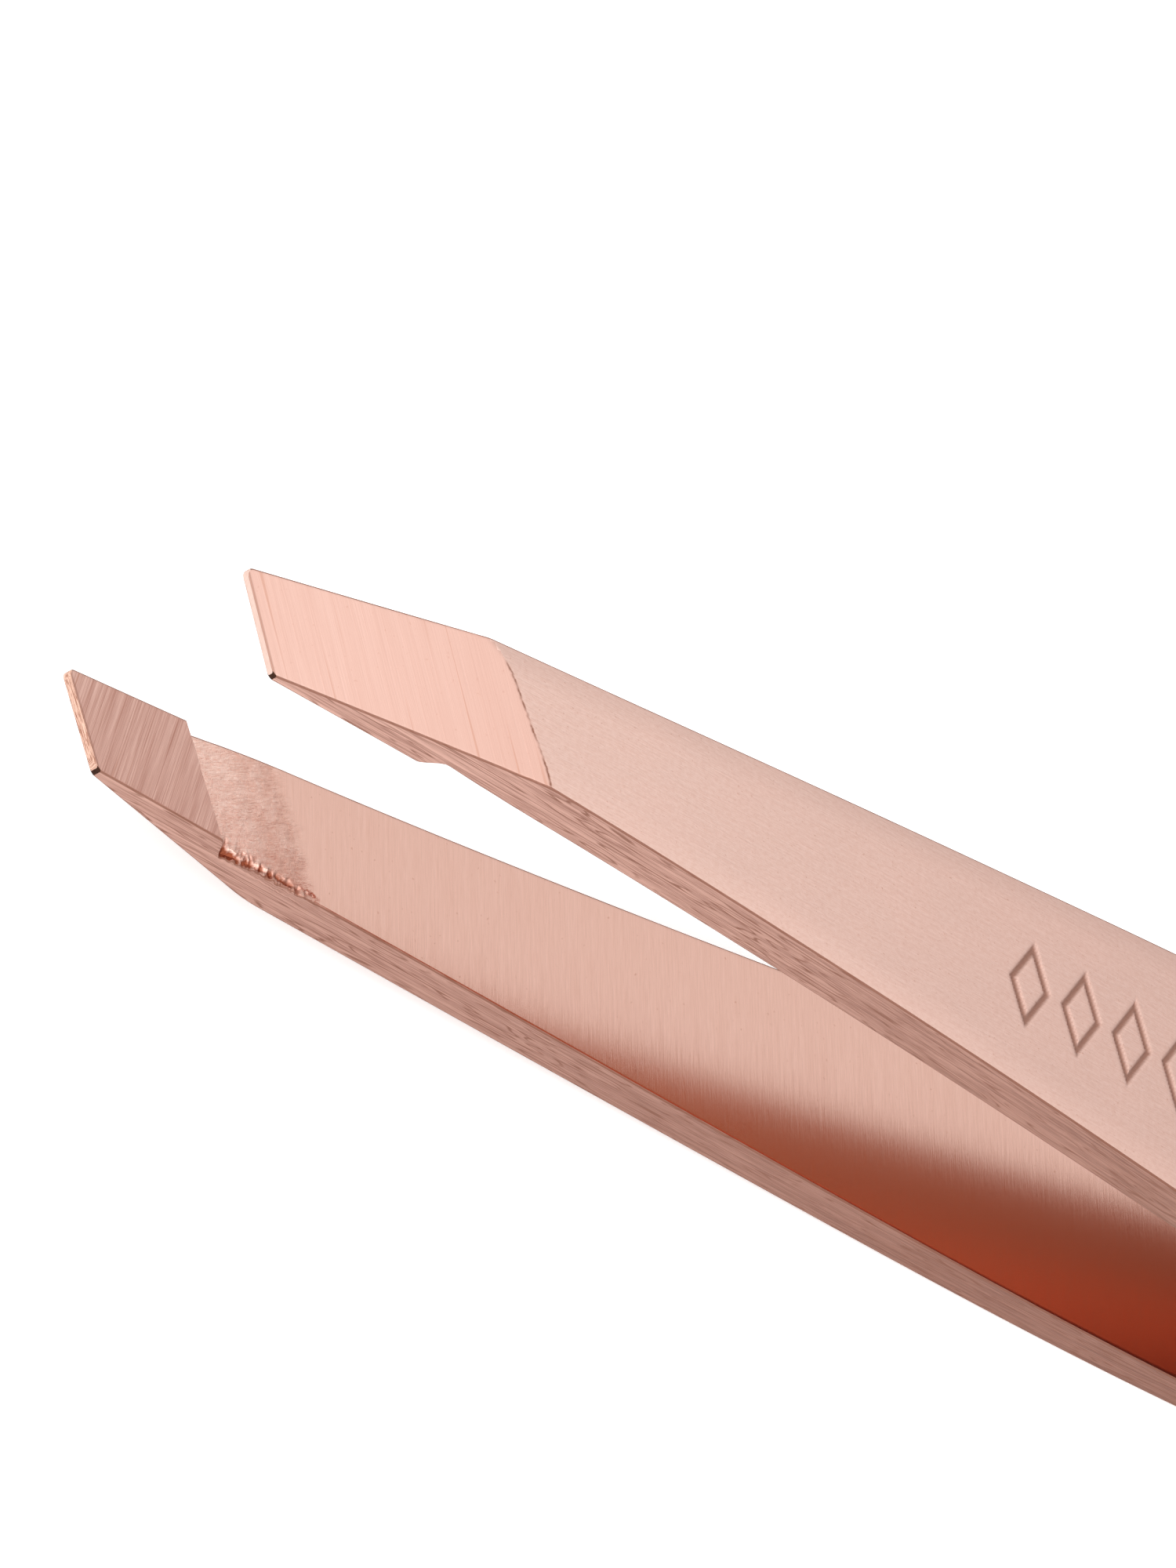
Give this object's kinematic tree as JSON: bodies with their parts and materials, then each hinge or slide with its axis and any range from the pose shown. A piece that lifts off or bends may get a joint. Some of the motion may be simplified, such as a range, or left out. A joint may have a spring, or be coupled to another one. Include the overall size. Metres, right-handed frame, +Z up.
{
  "type": "slant tweezers",
  "caption": "Slant-tip cosmetic tweezers: bowed brushed rose-gold steel arms, welded at the tail, spring closed by finger pressure so the ground tip edges meet.",
  "frame": {"origin": "middle of the bounding box's underside, with the tool lying on a table on its lower arm's bow and the tail's lower edge", "axes": "+X along the tool from the tips to the tail, +Y across the width towards the foremost corner of the slanted tips, +Z up from the table"},
  "size_m": [0.0952, 0.01, 0.0148],
  "materials": {
    "rose_gold_steel": "rose-gold plated stainless steel, fine lengthwise brushing, ground tips",
    "weld_metal": "fused bare steel, sealed inside"
  },
  "bodies": {
    "tail": {"upper_tail": "rose_gold_steel", "lower_tail": "rose_gold_steel", "weld_nugget_front": "weld_metal", "weld_nugget_rear": "weld_metal"},
    "upper_blade": {"upper_arm": "rose_gold_steel"},
    "lower_blade": {"lower_arm": "rose_gold_steel"}
  },
  "joints": [
    {"name": "upper_flexure", "type": "hinge", "parent": "tail", "child": "upper_blade", "pos_m": [0.01778, 0, 0.00645], "axis": [0, -1, 0], "range_deg": [0, 3.83], "stiffness_Nm_per_rad": 1.4},
    {"name": "lower_flexure", "type": "hinge", "parent": "tail", "child": "lower_blade", "pos_m": [0.01738, 0, 0.00117], "axis": [0, 1, 0], "range_deg": [0, 3.83], "stiffness_Nm_per_rad": 1.4}
  ]
}
